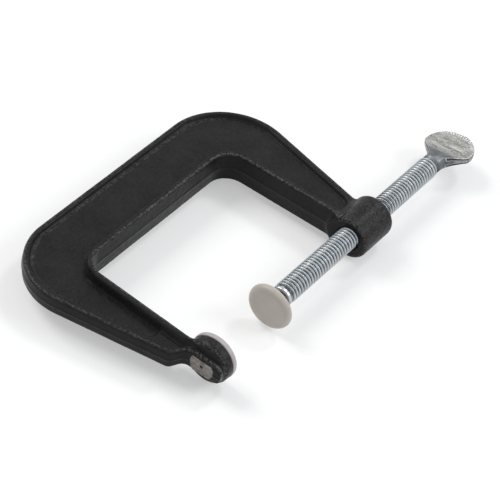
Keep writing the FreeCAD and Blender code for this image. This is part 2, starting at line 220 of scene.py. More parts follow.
def dense(profile: np.ndarray, spacing: float) -> np.ndarray:
    """Profile line with extra points so that no gap is longer than the spacing.

    Args:
        profile: (x, r) points in order.
        spacing: longest gap allowed.

    Returns:
        The line read off at even steps between its own points.
    """
    steps = np.linalg.norm(np.diff(profile, axis=0), axis=1)
    pieces = [np.linspace(a, b, max(1, math.ceil(s / spacing)), endpoint=False)
              for a, b, s in zip(profile, profile[1:], steps)]
    return np.concatenate(pieces + [profile[-1:]])


def turned(profile: np.ndarray, closed: bool = False) -> Sheet:
    """Surface of revolution about the screw's axis.

    A profile point (x, r) at angle t goes to (x, r sin t, -r cos t).

    Args:
        profile: (x, r) points, with r 0 at a pole.
        closed: whether the profile's last point joins its first.

    Returns:
        The turned sheet.
    """
    t = np.linspace(0.0, 2.0 * math.pi, STEPS, endpoint=False)[None, :]
    x, r = profile[:, :1], profile[:, 1:]
    points = np.stack([x + 0.0 * t, r * np.sin(t), -r * np.cos(t)], axis=-1)
    return weave(points, closed, True)


def helix(phases: np.ndarray, radii: np.ndarray, start: float, stop: float,
          limit: np.ndarray, outward: bool) -> Sheet:
    """Thread carried along its helix, cut off square at two planes.

    A profile point (phase, radius) at angle t goes to x = ridge start + half a pitch +
    pitch t / 2 pi + phase. x is held between the two planes, and the radius is held inside
    (or outside) the limiting line, so that both ends close on plain circles.

    Args:
        phases: places along one pitch, from minus half to plus half a pitch.
        radii: radius at each place.
        start: first plane.
        stop: last plane.
        limit: (x, r) points of the limiting line.
        outward: True for a screw, False for a bore.

    Returns:
        The threaded sheet. Its lighter-colour share is 1 at the crest, its zone value 1 in the
        root, where the screw's finish paints shade.
    """
    turns = math.ceil((stop - THREAD_START) / PITCH) + 2
    first = math.floor((start - THREAD_START) / PITCH) - 2
    k = np.arange(first * STEPS, turns * STEPS + 1)[:, None]
    angle = 2.0 * math.pi * k / STEPS
    x = THREAD_START + PITCH / 2.0 + PITCH * k / STEPS + phases[None, :]
    x = np.clip(x, start, stop)
    edge = np.interp(x, limit[:, 0], limit[:, 1])
    held = np.minimum if outward else np.maximum
    r = held(np.broadcast_to(radii[None, :], x.shape), edge)
    points = np.stack([x, r * np.sin(angle), -r * np.cos(angle)], axis=-1)
    sheet = weave(points, False, False)
    low, high = radii.min(), radii.max()
    depth = (r - low) / (high - low)
    sheet.lighter_share = np.clip(depth, 0.0, 1.0).ravel() ** 3
    # Zone: 1 in the root, where the screw's finish paints shade.
    sheet.zone = np.clip(1.0 - depth, 0.0, 1.0).ravel()
    return sheet


def make_piece(name: str, sheet: Sheet, body: Body, replaces: str = "",
               crease: float = 38.0) -> bpy.types.Object:
    """Writes a sheet to a mesh object that rides on a body.

    Args:
        name: name of the piece.
        sheet: its points and quads in millimetres.
        body: the body it moves with.
        replaces: CAD node that it stands for, if any.
        crease: angle in degrees past which an edge stays sharp.

    Returns:
        The object, with its doubles merged and its faces outwards.
    """
    mesh = bpy.data.meshes.new(name)
    mesh.from_pydata((sheet.points / 1000.0).tolist(), [], sheet.quads.tolist())
    # On the frame the lighter-colour share is partly rubbed paint and partly painted highlight;
    # on the screw the zone carries painted shade and painted reflection.
    for label, values in (("lighter_share", sheet.lighter_share), ("zone", sheet.zone)):
        layer = mesh.attributes.new(label, "FLOAT", "POINT")
        layer.data.foreach_set("value", np.asarray(values, np.float32))
    work = bmesh.new()
    work.from_mesh(mesh)
    bmesh.ops.remove_doubles(work, verts=work.verts, dist=2e-6)
    bmesh.ops.dissolve_degenerate(work, dist=1e-6, edges=work.edges)
    bmesh.ops.recalc_face_normals(work, faces=work.faces)
    work.to_mesh(mesh)
    work.free()
    mesh.polygons.foreach_set("use_smooth", np.ones(len(mesh.polygons), bool))
    mesh.set_sharp_from_angle(angle=math.radians(crease))
    piece = bpy.data.objects.new(name, mesh)
    bpy.context.scene.collection.objects.link(piece)
    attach(piece, body.value)
    if replaces:
        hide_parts(replaces)
    LOG.info("%s: %d faces", name, len(mesh.polygons))
    return piece


# Finishes

class Nodes:
    """Short way to lay out one material's nodes."""

    def __init__(self, name: str) -> None:
        """Starts a material with a plain shader.

        Args:
            name: name of the material.
        """
        self.material = bpy.data.materials.new(name)
        self.material.use_nodes = True
        self.tree = self.material.node_tree
        self.shader = self.tree.nodes["Principled BSDF"]
        self.place = self.add("ShaderNodeTexCoord").outputs["Object"]

    def add(self, kind: str, **values: object) -> bpy.types.Node:
        """Adds a node and sets its properties.

        Args:
            kind: the node's type name.
            values: properties of the node.

        Returns:
            The node.
        """
        node = self.tree.nodes.new(kind)
        for key, value in values.items():
            setattr(node, key, value)
        return node

    def link(self, source: bpy.types.NodeSocket, target: bpy.types.NodeSocket) -> None:
        """Joins an output to an input."""
        self.tree.links.new(source, target)

    def noise(self, scale: float, detail: float = 3.0, rough: float = 0.55,
              stretch: tuple = (1.0, 1.0, 1.0)) -> bpy.types.NodeSocket:
        """Noise on the object's own coordinates.

        Args:
            scale: bumps for each metre.
            detail: octaves.
            rough: weight of the finer octaves.
            stretch: scale along each axis.

        Returns:
            The value, about 0 to 1.
        """
        mapping = self.add("ShaderNodeMapping")
        mapping.inputs["Scale"].default_value = stretch
        self.link(self.place, mapping.inputs["Vector"])
        node = self.add("ShaderNodeTexNoise")
        node.inputs["Scale"].default_value = scale
        node.inputs["Detail"].default_value = detail
        node.inputs["Roughness"].default_value = rough
        self.link(mapping.outputs["Vector"], node.inputs["Vector"])
        return node.outputs["Fac"]

    def attribute(self, name: str) -> bpy.types.NodeSocket:
        """Value of a named attribute of the mesh."""
        return self.add("ShaderNodeAttribute", attribute_name=name).outputs["Fac"]

    def span(self, value: bpy.types.NodeSocket, source: tuple, target: tuple
             ) -> bpy.types.NodeSocket:
        """Maps one range to another, held at its ends.

        Args:
            value: the value read.
            source: lowest and highest value in.
            target: lowest and highest value out.

        Returns:
            The mapped value.
        """
        node = self.add("ShaderNodeMapRange")
        for key, number in zip(("From Min", "From Max", "To Min", "To Max"), source + target):
            node.inputs[key].default_value = number
        self.link(value, node.inputs["Value"])
        return node.outputs["Result"]

    def maths(self, operation: str, a: object, b: object) -> bpy.types.NodeSocket:
        """Sum, product or other result of two values or sockets.

        Args:
            operation: name of the operation.
            a: number or socket.
            b: number or socket.

        Returns:
            The result.
        """
        node = self.add("ShaderNodeMath", operation=operation)
        for socket, item in zip(node.inputs, (a, b)):
            if isinstance(item, (int, float)):
                socket.default_value = item
            else:
                self.link(item, socket)
        return node.outputs["Value"]

    def mix(self, amount: bpy.types.NodeSocket, a: object, b: object) -> bpy.types.NodeSocket:
        """Colour between two colours or sockets.

        Args:
            amount: 0 for the first, 1 for the second.
            a: colour or socket.
            b: colour or socket.

        Returns:
            The mixed colour.
        """
        node = self.add("ShaderNodeMix", data_type="RGBA")
        self.link(amount, node.inputs["Factor"])
        for socket, item in zip((node.inputs[6], node.inputs[7]), (a, b)):
            if isinstance(item, tuple):
                socket.default_value = (*item, 1.0)
            else:
                self.link(item, socket)
        return node.outputs[2]

    def blend(self, value: bpy.types.NodeSocket, low: float, high: float, a: object, b: object,
              most: float = 1.0) -> bpy.types.NodeSocket:
        """Colour that goes from one to another while a value rises.

        Args:
            value: the value read.
            low: value at which the second colour starts.
            high: value at which it is full.
            a: first colour or socket.
            b: second colour or socket.
            most: share of the second colour when it is full.

        Returns:
            The mixed colour.
        """
        return self.mix(self.span(value, (low, high), (0.0, most)), a, b)

    def bump(self, height: bpy.types.NodeSocket, depth: float, strength: float,
             under: bpy.types.NodeSocket = None) -> bpy.types.NodeSocket:
        """Bumped normal.

        Args:
            height: height from 0 to 1.
            depth: height of a full step in metres.
            strength: share of the effect.
            under: normal to start from.

        Returns:
            The new normal.
        """
        node = self.add("ShaderNodeBump")
        node.inputs["Strength"].default_value = strength
        node.inputs["Distance"].default_value = depth
        self.link(height, node.inputs["Height"])
        if under is not None:
            self.link(under, node.inputs["Normal"])
        return node.outputs["Normal"]

    def finish(self, colour: object, roughness: object, normal: bpy.types.NodeSocket,
               **constants: float) -> bpy.types.Material:
        """Joins the results to the shader.

        Args:
            colour: colour or socket.
            roughness: number or socket.
            normal: bumped normal.
            constants: shader inputs set to one number, underscores for blanks.

        Returns:
            The material.
        """
        for key, item in (("Base Color", colour), ("Roughness", roughness)):
            if isinstance(item, tuple):
                self.shader.inputs[key].default_value = (*item, 1.0)
            elif isinstance(item, (int, float)):
                self.shader.inputs[key].default_value = item
            else:
                self.link(item, self.shader.inputs[key])
        self.link(normal, self.shader.inputs["Normal"])
        for key, number in constants.items():
            self.shader.inputs[key.replace("_", " ")].default_value = number
        return self.material


@dataclass(frozen=True)
class CastPaint:
    """Black enamel over rough cast iron, rubbed thin on its edges; the lighter colour is also a
    painted highlight.
    """

    dark: tuple = (0.0075, 0.0075, 0.0077)
    light: tuple = (0.0125, 0.0125, 0.0127)
    rubbed_and_highlight: tuple = (0.105, 0.104, 0.102)
    shine: float = 0.12

    def build(self) -> bpy.types.Material:
        """Makes the material: sand-cast bumps of three sizes under a satin coat."""
        n = Nodes("black_cast_paint")
        grain = n.noise(1500.0, 4.0, 0.62)
        peel = n.noise(520.0, 3.0, 0.55)
        swell = n.noise(120.0, 2.0, 0.5)
        tone = n.blend(swell, 0.35, 0.68, self.dark, self.light)
        # Lighter speckled colour where the point's share value is high: partly rubbed paint,
        # partly a painted highlight.
        speckles = n.span(n.noise(1500.0, 4.0, 0.65), (0.44, 0.62), (0.0, 1.0))
        edge = n.maths("MULTIPLY", n.attribute("lighter_share"), speckles)
        colour = n.mix(edge, tone, self.rubbed_and_highlight)
        rough = n.maths("ADD", n.span(peel, (0.3, 0.7), (0.26, 0.42)),
                        n.span(grain, (0.35, 0.7), (-0.03, 0.06)))
        normal = n.bump(swell, 0.0003, 0.3)
        normal = n.bump(peel, 0.00020, 0.5, normal)
        normal = n.bump(grain, 0.00010, 0.6, normal)
        return n.finish(colour, rough, normal, Specular_IOR_Level=self.shine)


@dataclass(frozen=True)
class ZincPlate:
    """Bright zinc plate with a faint blue cast and painted shade in the thread's roots."""

    bright: tuple = (0.56, 0.585, 0.60)
    blue: tuple = (0.40, 0.44, 0.475)
    root_shade: tuple = (0.06, 0.065, 0.072)
    streak_dark: tuple = (0.15, 0.15, 0.145)
    streak_light: tuple = (0.46, 0.46, 0.445)
    dots: tuple = (0.74, 0.74, 0.72)
    neck_light: tuple = (0.20, 0.212, 0.225)
    neck_dark: tuple = (0.085, 0.095, 0.105)
    edge_highlight_and_wear: tuple = (0.72, 0.72, 0.71)
    side_dark_reflection: tuple = (0.05, 0.052, 0.055)
    blade: bool = False

    def build(self) -> bpy.types.Material:
        """Makes the material: cloudy plate, painted shade in the roots and, on the blade, forging
        lines, a lighter band on its edges that is partly painted highlight, and a painted dark
        reflection on its narrow sides.
        """
        n = Nodes("zinc_blade" if self.blade else "zinc_thread")
        cloud = n.noise(260.0, 3.0, 0.6)
        fine = n.noise(2400.0, 3.0, 0.6)
        tone = n.blend(cloud, 0.36, 0.66, self.bright, self.blue)
        # Painted shade in the thread's roots, read from the zone value.
        colour = n.blend(n.attribute("zone"), 0.25, 0.85, tone, self.root_shade, 0.95)
        rough = n.span(cloud, (0.3, 0.7), (0.24, 0.36))
        normal = n.bump(fine, 0.00002, 0.5)
        if self.blade:
            lines = n.noise(520.0, 5.0, 0.7, (3.4, 0.32, 1.0))
            broad = n.noise(210.0, 3.0, 0.6, (2.6, 0.45, 1.0))
            plain = n.blend(n.maths("ADD", lines, broad), 0.75, 1.25, self.streak_dark,
                            self.streak_light)
            plain = n.blend(n.noise(1900.0, 3.0, 0.6), 0.54, 0.68, plain, self.dots, 0.7)
            neck = n.blend(cloud, 0.36, 0.66, self.neck_light, self.neck_dark)
            colour = n.mix(n.attribute("lighter_share"), neck, plain)
            # Blade's narrow sides: a lighter band on their edges, partly worn plate and partly
            # painted highlight, light stripes on the rim nicks as painted highlight, and a
            # painted dark reflection on the sides.
            side = n.attribute("zone")
            colour = n.blend(side, 0.15, 0.45, colour, self.edge_highlight_and_wear, 0.8)
            colour = n.blend(side, 0.60, 0.90, colour, self.side_dark_reflection)
            rough = n.span(lines, (0.3, 0.7), (0.34, 0.52))
            normal = n.bump(lines, 0.00018, 0.75, normal)
            normal = n.bump(broad, 0.00035, 0.55, normal)
        return n.finish(colour, rough, normal, Metallic=1.0)


@dataclass(frozen=True)
class PadPlastic:
    """Moulded ivory plastic with a soft satin skin."""

    name: str
    clean: tuple
    warm: tuple

    def build(self) -> bpy.types.Material:
        """Makes the material: faint clouds of tone and a fine mould texture."""
        n = Nodes(self.name)
        cloud = n.noise(170.0, 3.0, 0.55)
        skin = n.noise(1900.0, 3.0, 0.6)
        colour = n.blend(cloud, 0.35, 0.68, self.clean, self.warm)
        rough = n.span(skin, (0.3, 0.7), (0.38, 0.52))
        normal = n.bump(cloud, 0.00022, 0.3, n.bump(skin, 0.00003, 0.5))
        return n.finish(colour, rough, normal, Subsurface_Weight=0.08, Subsurface_Scale=0.002,
                        Specular_IOR_Level=0.45)


@dataclass(frozen=True)
class BareIron:
    """Iron faced off by a cutter, with its rings and a dark centre dimple."""

    bright: tuple = (0.27, 0.25, 0.232)
    dull: tuple = (0.13, 0.12, 0.11)

    def build(self) -> bpy.types.Material:
        """Makes the material: tool rings about the screw's axis over a mottled grey."""
        n = Nodes("faced_iron")
        rings = n.add("ShaderNodeTexWave", wave_type="RINGS", rings_direction="X")
        rings.inputs["Scale"].default_value = 620.0
        rings.inputs["Distortion"].default_value = 1.5
        rings.inputs["Detail"].default_value = 2.0
        n.link(n.place, rings.inputs["Vector"])
        mottle = n.noise(700.0, 4.0, 0.6)
        colour = n.blend(mottle, 0.36, 0.66, self.bright, self.dull)
        rough = n.span(mottle, (0.3, 0.7), (0.42, 0.58))
        normal = n.bump(rings.outputs["Fac"], 0.00002, 0.5, n.bump(mottle, 0.00004, 0.4))
        return n.finish(colour, rough, normal, Metallic=0.75)


@dataclass(frozen=True)
class RingSteel:
    """Bright plated ring."""

    bright: tuple = (0.52, 0.54, 0.56)
    dull: tuple = (0.38, 0.41, 0.45)

    def build(self) -> bpy.types.Material:
        """Makes the material: plate with a light turned grain."""
        n = Nodes("ring_plate")
        fine = n.noise(1700.0, 3.0, 0.6, (4.0, 1.0, 1.0))
        cloud = n.noise(300.0, 2.0, 0.5)
        colour = n.blend(cloud, 0.35, 0.7, self.bright, self.dull)
        rough = n.span(cloud, (0.3, 0.7), (0.2, 0.32))
        return n.finish(colour, rough, n.bump(fine, 0.00002, 0.5), Metallic=1.0)


# The casting

@dataclass
class Route:
    """Matched points along the outer and the throat edge of the frame, with inward normals."""

    outer: np.ndarray
    outer_in: np.ndarray
    inner: np.ndarray
    inner_in: np.ndarray

    def width(self) -> np.ndarray:
        """Distance between the two edges at each station."""
        return np.linalg.norm(self.outer - self.inner, axis=1)


@dataclass
class Casting:
    """Black cast frame: ribbed C, threaded boss, jaw boss and its faced back."""

    spine_outer: float = 74.2
    spine_inner: float = 51.6
    fixed_outer: float = -21.45
    fixed_inner: float = -3.1
    screw_inner: float = 70.6
    screw_outer: float = 94.7
    slopes: tuple = (0.193, 0.030, 0.035, 0.211)
    near_corner: float = 21.5
    far_corner: float = 24.0
    throat_corner: float = 7.2
    lip: float = 3.5
    web: float = 2.3
    rail: float = 5.8
    lip_round: float = 0.8
    rail_round: float = 0.62
    jaw_back: float = -8.2
    jaw_front: float = -4.7
    tip: float = 7.4
    step_top: float = 8.7
    step_low: float = 6.2
    step_round: float = 2.6
    boss: float = 7.75
    boss_front: float = 70.7
    boss_back: float = 87.2
    boss_mouth: float = 4.75
    boss_front_round: float = 0.95
    boss_back_round: float = 1.7
    jaw_boss_radius: float = 8.0
    jaw_boss_round: float = 1.8
    jaw_boss_back: float = -6.0
    jaw_boss_front: float = -2.0
    hole: float = 2.49
    hole_depth: float = 3.7
    spot: float = 4.6
    spot_top: float = 2.6
    spot_low: float = -3.34
    spot_depth: float = 0.3
    pocket_fixed_end: float = 16.6
    pocket_screw_end: float = 7.6
    pocket_wall: float = 1.05
    rail_foot: float = 3.45
    rail_wall: float = 1.3
    draft: float = 0.25
    throat_draft: float = 0.45
    throat_inset: float = 0.40
    boss_fillet: float = 2.6
    side_fillet: float = 1.7
    throat_fillet: float = 3.6
    panel_centre: tuple = (37.5, 62.2)
    panel_half: tuple = (24.0, 6.3)
    panel_corner: float = 3.0
    arm_stop: float = 4.3

    def fixed_outer_x(self, y: np.ndarray) -> np.ndarray:
        """X of the fixed arm's outer edge: a straight taper."""
        return self.fixed_outer + self.slopes[0] * (self.spine_inner - y)

    def fixed_inner_x(self, y: np.ndarray) -> np.ndarray:
        """X of the fixed arm's throat edge: a straight taper."""
        return self.fixed_inner - self.slopes[1] * (self.spine_inner - y)

    def screw_inner_x(self, y: np.ndarray) -> np.ndarray:
        """X of the screw arm's throat edge: a straight taper."""
        return self.screw_inner + self.slopes[2] * (self.spine_inner - y)

    def screw_outer_x(self, y: np.ndarray) -> np.ndarray:
        """X of the screw arm's outer edge: a straight taper."""
        return self.screw_outer - self.slopes[3] * (self.spine_inner - y)

    def corner_centre(self, near: bool) -> np.ndarray:
        """Centre of an outer corner's arc, which touches the spine and an arm.

        Args:
            near: True for the fixed arm's corner.

        Returns:
            The centre, one radius in from both edges.
        """
        r = self.near_corner if near else self.far_corner
        y = self.spine_outer - r
        slope = self.slopes[0] if near else self.slopes[3]
        lean = r * math.hypot(1.0, slope)
        x = self.fixed_outer_x(y) + lean if near else self.screw_outer_x(y) - lean
        return np.array([x, y])

    def throat_centre(self, near: bool) -> np.ndarray:
        """Centre of a throat corner's arc, inside the opening.

        Args:
            near: True for the fixed arm's corner.

        Returns:
            The centre, one radius off both throat edges.
        """
        r = self.throat_corner
        y = self.spine_inner - r
        slope = self.slopes[1] if near else self.slopes[2]
        lean = r * math.hypot(1.0, slope)
        x = self.fixed_inner_x(y) + lean if near else self.screw_inner_x(y) - lean
        return np.array([x, y])

    def step_line(self) -> np.ndarray:
        """Outer edge of the fixed arm from the jaw's back to above the step, corners rounded."""
        top = self.fixed_outer_x(np.array(40.0))
        return rounded_profile([(self.jaw_back, -9.0), (self.jaw_back, self.step_low),
                                (float(self.fixed_outer_x(np.array(self.step_top))),
                                 self.step_top), (float(top), 40.0)],
                               [0, self.step_round, self.step_round, 0], 12)

    def route(self) -> Route:
        """Stations along the C: lines at set heights, arcs at even turns.

        Returns:
            The matched edges, from the jaw's tip to inside the screw boss.
        """
        tip = self.tip
        low = -tip * np.cos(np.linspace(0.0, math.pi / 2, 26))
        rows = np.concatenate([low, np.arange(0.2, 6.0, 0.2), np.arange(6.0, 20.0, 0.17)])
        line = self.step_line()
        step_x = np.interp(rows, line[:, 1], line[:, 0])
        slope = np.interp(rows, line[1:-1, 1] * 0.5 + line[:-2, 1] * 0.5,
                          np.diff(line[:-1, 0]) / np.maximum(np.diff(line[:-1, 1]), 1e-6))
        slope = np.where(rows > self.step_top + 2.5, -self.slopes[0], slope)
        step_in = np.stack([np.ones_like(rows), -slope], axis=1)
        step_in /= np.linalg.norm(step_in, axis=1)[:, None]
        shift = ease((5.0 - rows) / 3.0)
        throat_x = self.fixed_inner_x(rows) * (1.0 - shift) + self.jaw_front * shift
        parts = [(np.stack([step_x, rows], 1), step_in, np.stack([throat_x, rows], 1),
                  np.tile([-1.0, -self.slopes[1]], (len(rows), 1)))]
        near, far = self.corner_centre(True), self.corner_centre(False)
        near_in, far_in = self.throat_centre(True), self.throat_centre(False)
        parts.append(self.arm_rows(np.linspace(0.0, 1.0, 62)[1:-1], 20.0, near, near_in, True))
        parts.append(self.corner_rows(np.linspace(0.0, 1.0, 44), near, near_in, True))
        parts.append(self.spine_rows(np.linspace(0.0, 1.0, 96)[1:-1], near, far, near_in, far_in))
        parts.append(self.corner_rows(np.linspace(0.0, 1.0, 48), far, far_in, False))
        ends = np.concatenate([np.linspace(1.0, 0.2, 58)[1:], np.linspace(0.2, 0.0, 60)[1:]])
        parts.append(self.arm_rows(ends, self.arm_stop, far, far_in, False))
        outer, outer_in, inner, inner_in = (np.concatenate(c) for c in zip(*parts))
        inner_in = inner_in / np.linalg.norm(inner_in, axis=1)[:, None]
        return Route(outer, outer_in, inner, inner_in)

    def arm_rows(self, t: np.ndarray, low: float, centre: np.ndarray, centre_in: np.ndarray,
                 near: bool) -> tuple:
        """Stations along one straight arm, read off between its lower end and its corner.

        Args:
            t: places from 0 at the lower end to 1 at the corner.
            low: Y of the lower end.
            centre: centre of the outer corner.
            centre_in: centre of the throat corner.
            near: True for the fixed arm.

        Returns:
            Outer points and normals, throat points and normals.
        """
        side = 1.0 if near else -1.0
        slope, slope_in = (self.slopes[0], self.slopes[1]) if near else self.slopes[:1:-1]
        radius = self.near_corner if near else self.far_corner
        normal = np.array([side, slope]) / math.hypot(1.0, slope)
        inward = np.array([-side, -slope_in]) / math.hypot(1.0, slope_in)
        top = centre[1] - normal[1] * radius
        top_in = centre_in[1] + inward[1] * self.throat_corner
        y = low + (top - low) * t
        y_in = low + (top_in - low) * t
        x = self.fixed_outer_x(y) if near else self.screw_outer_x(y)
        x_in = self.fixed_inner_x(y_in) if near else self.screw_inner_x(y_in)
        return (np.stack([x, y], 1), np.tile(normal, (len(t), 1)),
                np.stack([x_in, y_in], 1), np.tile(inward, (len(t), 1)))

    def corner_rows(self, t: np.ndarray, centre: np.ndarray, centre_in: np.ndarray,
                    near: bool) -> tuple:
        """Stations round one corner, at even turns of both arcs.

        Args:
            t: places from 0 to 1 in the order of the route.
            centre: centre of the outer arc.
            centre_in: centre of the throat arc.
            near: True for the fixed arm's corner.

        Returns:
            Outer points and normals, throat points and normals.
        """
        slope, slope_in = (self.slopes[0], self.slopes[1]) if near else self.slopes[:1:-1]
        lean, lean_in = math.atan(slope), math.atan(slope_in)
        up = math.pi / 2
        if near:
            a = math.pi + lean + (up - math.pi - lean) * t
            b = math.pi + (up - math.pi) * t + lean_in * (1.0 - t)
        else:
            a = up + (-lean - up) * t
            b = up - up * t - lean_in * t
        spoke = np.stack([np.cos(a), np.sin(a)], 1)
        spoke_in = np.stack([np.cos(b), np.sin(b)], 1)
        radius = self.near_corner if near else self.far_corner
        return (centre + spoke * radius, -spoke, centre_in + spoke_in * self.throat_corner,
                spoke_in)

    def spine_rows(self, t: np.ndarray, near: np.ndarray, far: np.ndarray,
                   near_in: np.ndarray, far_in: np.ndarray) -> tuple:
        """Stations along the spine between the two corners.

        Args:
            t: places from 0 to 1.
            near: centre of the near outer arc.
            far: centre of the far outer arc.
            near_in: centre of the near throat arc.
            far_in: centre of the far throat arc.

        Returns:
            Outer points and normals, throat points and normals.
        """
        x = near[0] + (far[0] - near[0]) * t
        x_in = near_in[0] + (far_in[0] - near_in[0]) * t
        return (np.stack([x, np.full_like(x, self.spine_outer)], 1),
                np.tile([0.0, -1.0], (len(t), 1)),
                np.stack([x_in, np.full_like(x, self.spine_inner)], 1),
                np.tile([0.0, 1.0], (len(t), 1)))

    def edge_depth(self, x: np.ndarray, y: np.ndarray) -> np.ndarray:
        """Distance in from the outer edge: the nearest straight edge, or an arc in a corner."""
        hypot_near = math.hypot(1.0, self.slopes[0])
        hypot_far = math.hypot(1.0, self.slopes[3])
        left = (x - self.fixed_outer_x(y)) / hypot_near
        right = (self.screw_outer_x(y) - x) / hypot_far
        depth = np.minimum(np.minimum(left, right), self.spine_outer - y)
        for near, side in ((True, left), (False, right)):
            c = self.corner_centre(near)
            r = self.near_corner if near else self.far_corner
            inside = (y > c[1]) & (side < r)
            depth = np.where(inside, r - np.hypot(x - c[0], y - c[1]), depth)
        return depth

    def throat_depth(self, x: np.ndarray, y: np.ndarray) -> np.ndarray:
        """Distance into the metal from the throat's edge, round its two corners."""
        r = self.throat_corner
        left = (self.fixed_inner_x(y) - x) / math.hypot(1.0, self.slopes[1]) + r
        right = (x - self.screw_inner_x(y)) / math.hypot(1.0, self.slopes[2]) + r
        up = y - self.spine_inner + r
        side = np.maximum(left, right)
        both = (side > 0.0) & (up > 0.0)
        return np.where(both, np.hypot(side, up), np.maximum(side, up)) - r

    def boss_gap(self, x: np.ndarray, y: np.ndarray, z: np.ndarray) -> np.ndarray:
        """Distance to the nearer of the two round bosses, less than zero inside them."""
        gaps = []
        sizes = ((self.boss, self.boss_front, self.boss_back, 1.2),
                 (self.jaw_boss_radius, self.jaw_boss_back, self.jaw_boss_front,
                  self.jaw_boss_round))
        for size, a, b, rim in sizes:
            r = np.hypot(y, z) - size + rim
            run = np.abs(x - (a + b) / 2.0) - (b - a) / 2.0 + rim
            gaps.append(np.hypot(np.maximum(run, 0.0), np.maximum(r, 0.0))
                        + np.minimum(np.maximum(run, r), 0.0) - rim)
        return np.minimum(*gaps)

    def plate_height(self, x: np.ndarray, y: np.ndarray) -> np.ndarray:
        """Height of the frame's upper face before it meets the bosses.

        The lip's level drops by an eased wall into the web where a point lies inside the
        pocket, and rises by another to the rail beside the throat. A faint raised line
        goes round the spine's plain panel.
        """
        throat, fixed = self.throat_depth(x, y), x < BETWEEN_ARMS
        inside = self.pocket_depth(x, y)
        sunk = ease(inside / self.pocket_wall + 0.40)
        level = self.lip - (self.lip - self.web) * sunk
        level = level - 0.12 * np.exp(-(((inside - 0.75) / 0.4) ** 2))
        level = level + 0.05 * ripple(x, y, 9.0, 4) * sunk + 0.035 * ripple(x, y, 3.1, 8)
        near_jaw = np.where(fixed, ease((9.5 - y) / 5.5), 0.0)
        foot = self.rail_foot - 2.1 * near_jaw
        wall = ease((foot - throat) / self.rail_wall)
        groove = np.exp(-(((throat - foot - 0.25) / 0.4) ** 2)) * (1.0 - sunk) * fixed
        level = level - 0.28 * groove * ease((y - 4.0) / 4.0)
        top = self.rail - (self.rail - self.lip - 0.4) * near_jaw * ease((2.5 - y) / 1.5)
        height = level + (top - level) * wall + 0.05 * ripple(x, y, 2.4, 15) * wall
        height = height + self.panel_line(x, y)
        tip = np.sqrt(np.maximum(self.tip ** 2 - y ** 2, 0.0))
        return np.where(y < 0.0, soft_min(np.minimum(height, self.lip), tip, 2.8), height)

    def pocket_depth(self, x: np.ndarray, y: np.ndarray) -> np.ndarray:
        """Distance inside the sunk web from its outline, less than zero outside it."""
        lip_width = 2.15 + 0.6 * ease((60.0 - y) / 12.0)
        stop = np.where(x < BETWEEN_ARMS, self.pocket_fixed_end, self.pocket_screw_end)
        end = y - stop - 0.3
        inside = soft_min(self.edge_depth(x, y) - lip_width, end, 3.2)
        return soft_min(inside, self.throat_depth(x, y) - 2.6, 1.0)

    def panel_line(self, x: np.ndarray, y: np.ndarray) -> np.ndarray:
        """Raised outline of a round-cornered panel on the spine: a narrow hump on its edge."""
        qx = np.abs(x - self.panel_centre[0]) - self.panel_half[0] + self.panel_corner
        qy = np.abs(y - self.panel_centre[1]) - self.panel_half[1] + self.panel_corner
        gap = np.hypot(np.maximum(qx, 0), np.maximum(qy, 0)) + np.minimum(np.maximum(qx, qy), 0)
        gap = gap - self.panel_corner
        return 0.10 * np.exp(-((gap / 0.45) ** 2)) + 0.06 * ease(-gap / 0.8)

    def face_height(self, x: np.ndarray, y: np.ndarray) -> np.ndarray:
        """Height of the upper face with hollow fillets up to the bosses.

        The face is where the rounded lesser of two distances, to the plate's level and to a
        boss, is zero. It is found by halving the span 24 times, for all points at once.
        """
        plate = self.plate_height(x, y)
        width = self.boss_fillet - 1.9 * ease((6.5 - y) / 3.5) * (x < BETWEEN_ARMS)
        low, high = np.zeros_like(plate), np.full_like(plate, 10.0)
        for _ in range(24):
            mid = (low + high) / 2.0
            above = soft_min(mid - plate, self.boss_gap(x, y, mid), width) > 0.0
            low, high = np.where(above, low, mid), np.where(above, mid, high)
        run = np.clip(x - self.jaw_boss_back, 0.0, self.jaw_boss_round)
        rim = self.jaw_boss_round
        size = self.jaw_boss_radius - rim + np.sqrt(rim ** 2 - (rim - run) ** 2)
        top = np.sqrt(np.maximum(size ** 2 - y ** 2, 0.0)) - 0.3 * ease((run - 0.1) / 0.4)
        at_jaw = (x > self.jaw_boss_back) & (x < BETWEEN_ARMS) & (y < 7.5)
        sink = ease((top - plate - 0.5) / 0.8) * at_jaw
        high = high * (1.0 - sink) + np.minimum(high, top) * sink
        tip = np.sqrt(np.maximum(self.tip ** 2 - y ** 2, 0.0))
        below = np.minimum(high, tip + 3.0 * ease((y + self.tip) / 4.0))
        high = np.where(y < 0.0, below, high)
        buried = ease((6.6 - y) / 2.0) * (x > BETWEEN_ARMS)
        return high - 0.25 * buried * (high > plate + 0.1)

    def flare(self, point: np.ndarray, z: np.ndarray) -> np.ndarray:
        """How far a side wall swells towards a boss, from its distance to the boss."""
        x, y = point[..., 0], point[..., 1]
        gap = self.boss_gap(x, y, z)
        reach = fillet_reach(gap, self.side_fillet)
        wide = fillet_reach(gap, self.throat_fillet)
        room = x - self.boss_front + 0.04 - 0.14 * ease((5.8 - y) / 0.8)
        at_throat = (x > 66.0) & (x < 78.0) & (y < 40.0)
        return np.where(at_throat, np.minimum(wide, room), reach)

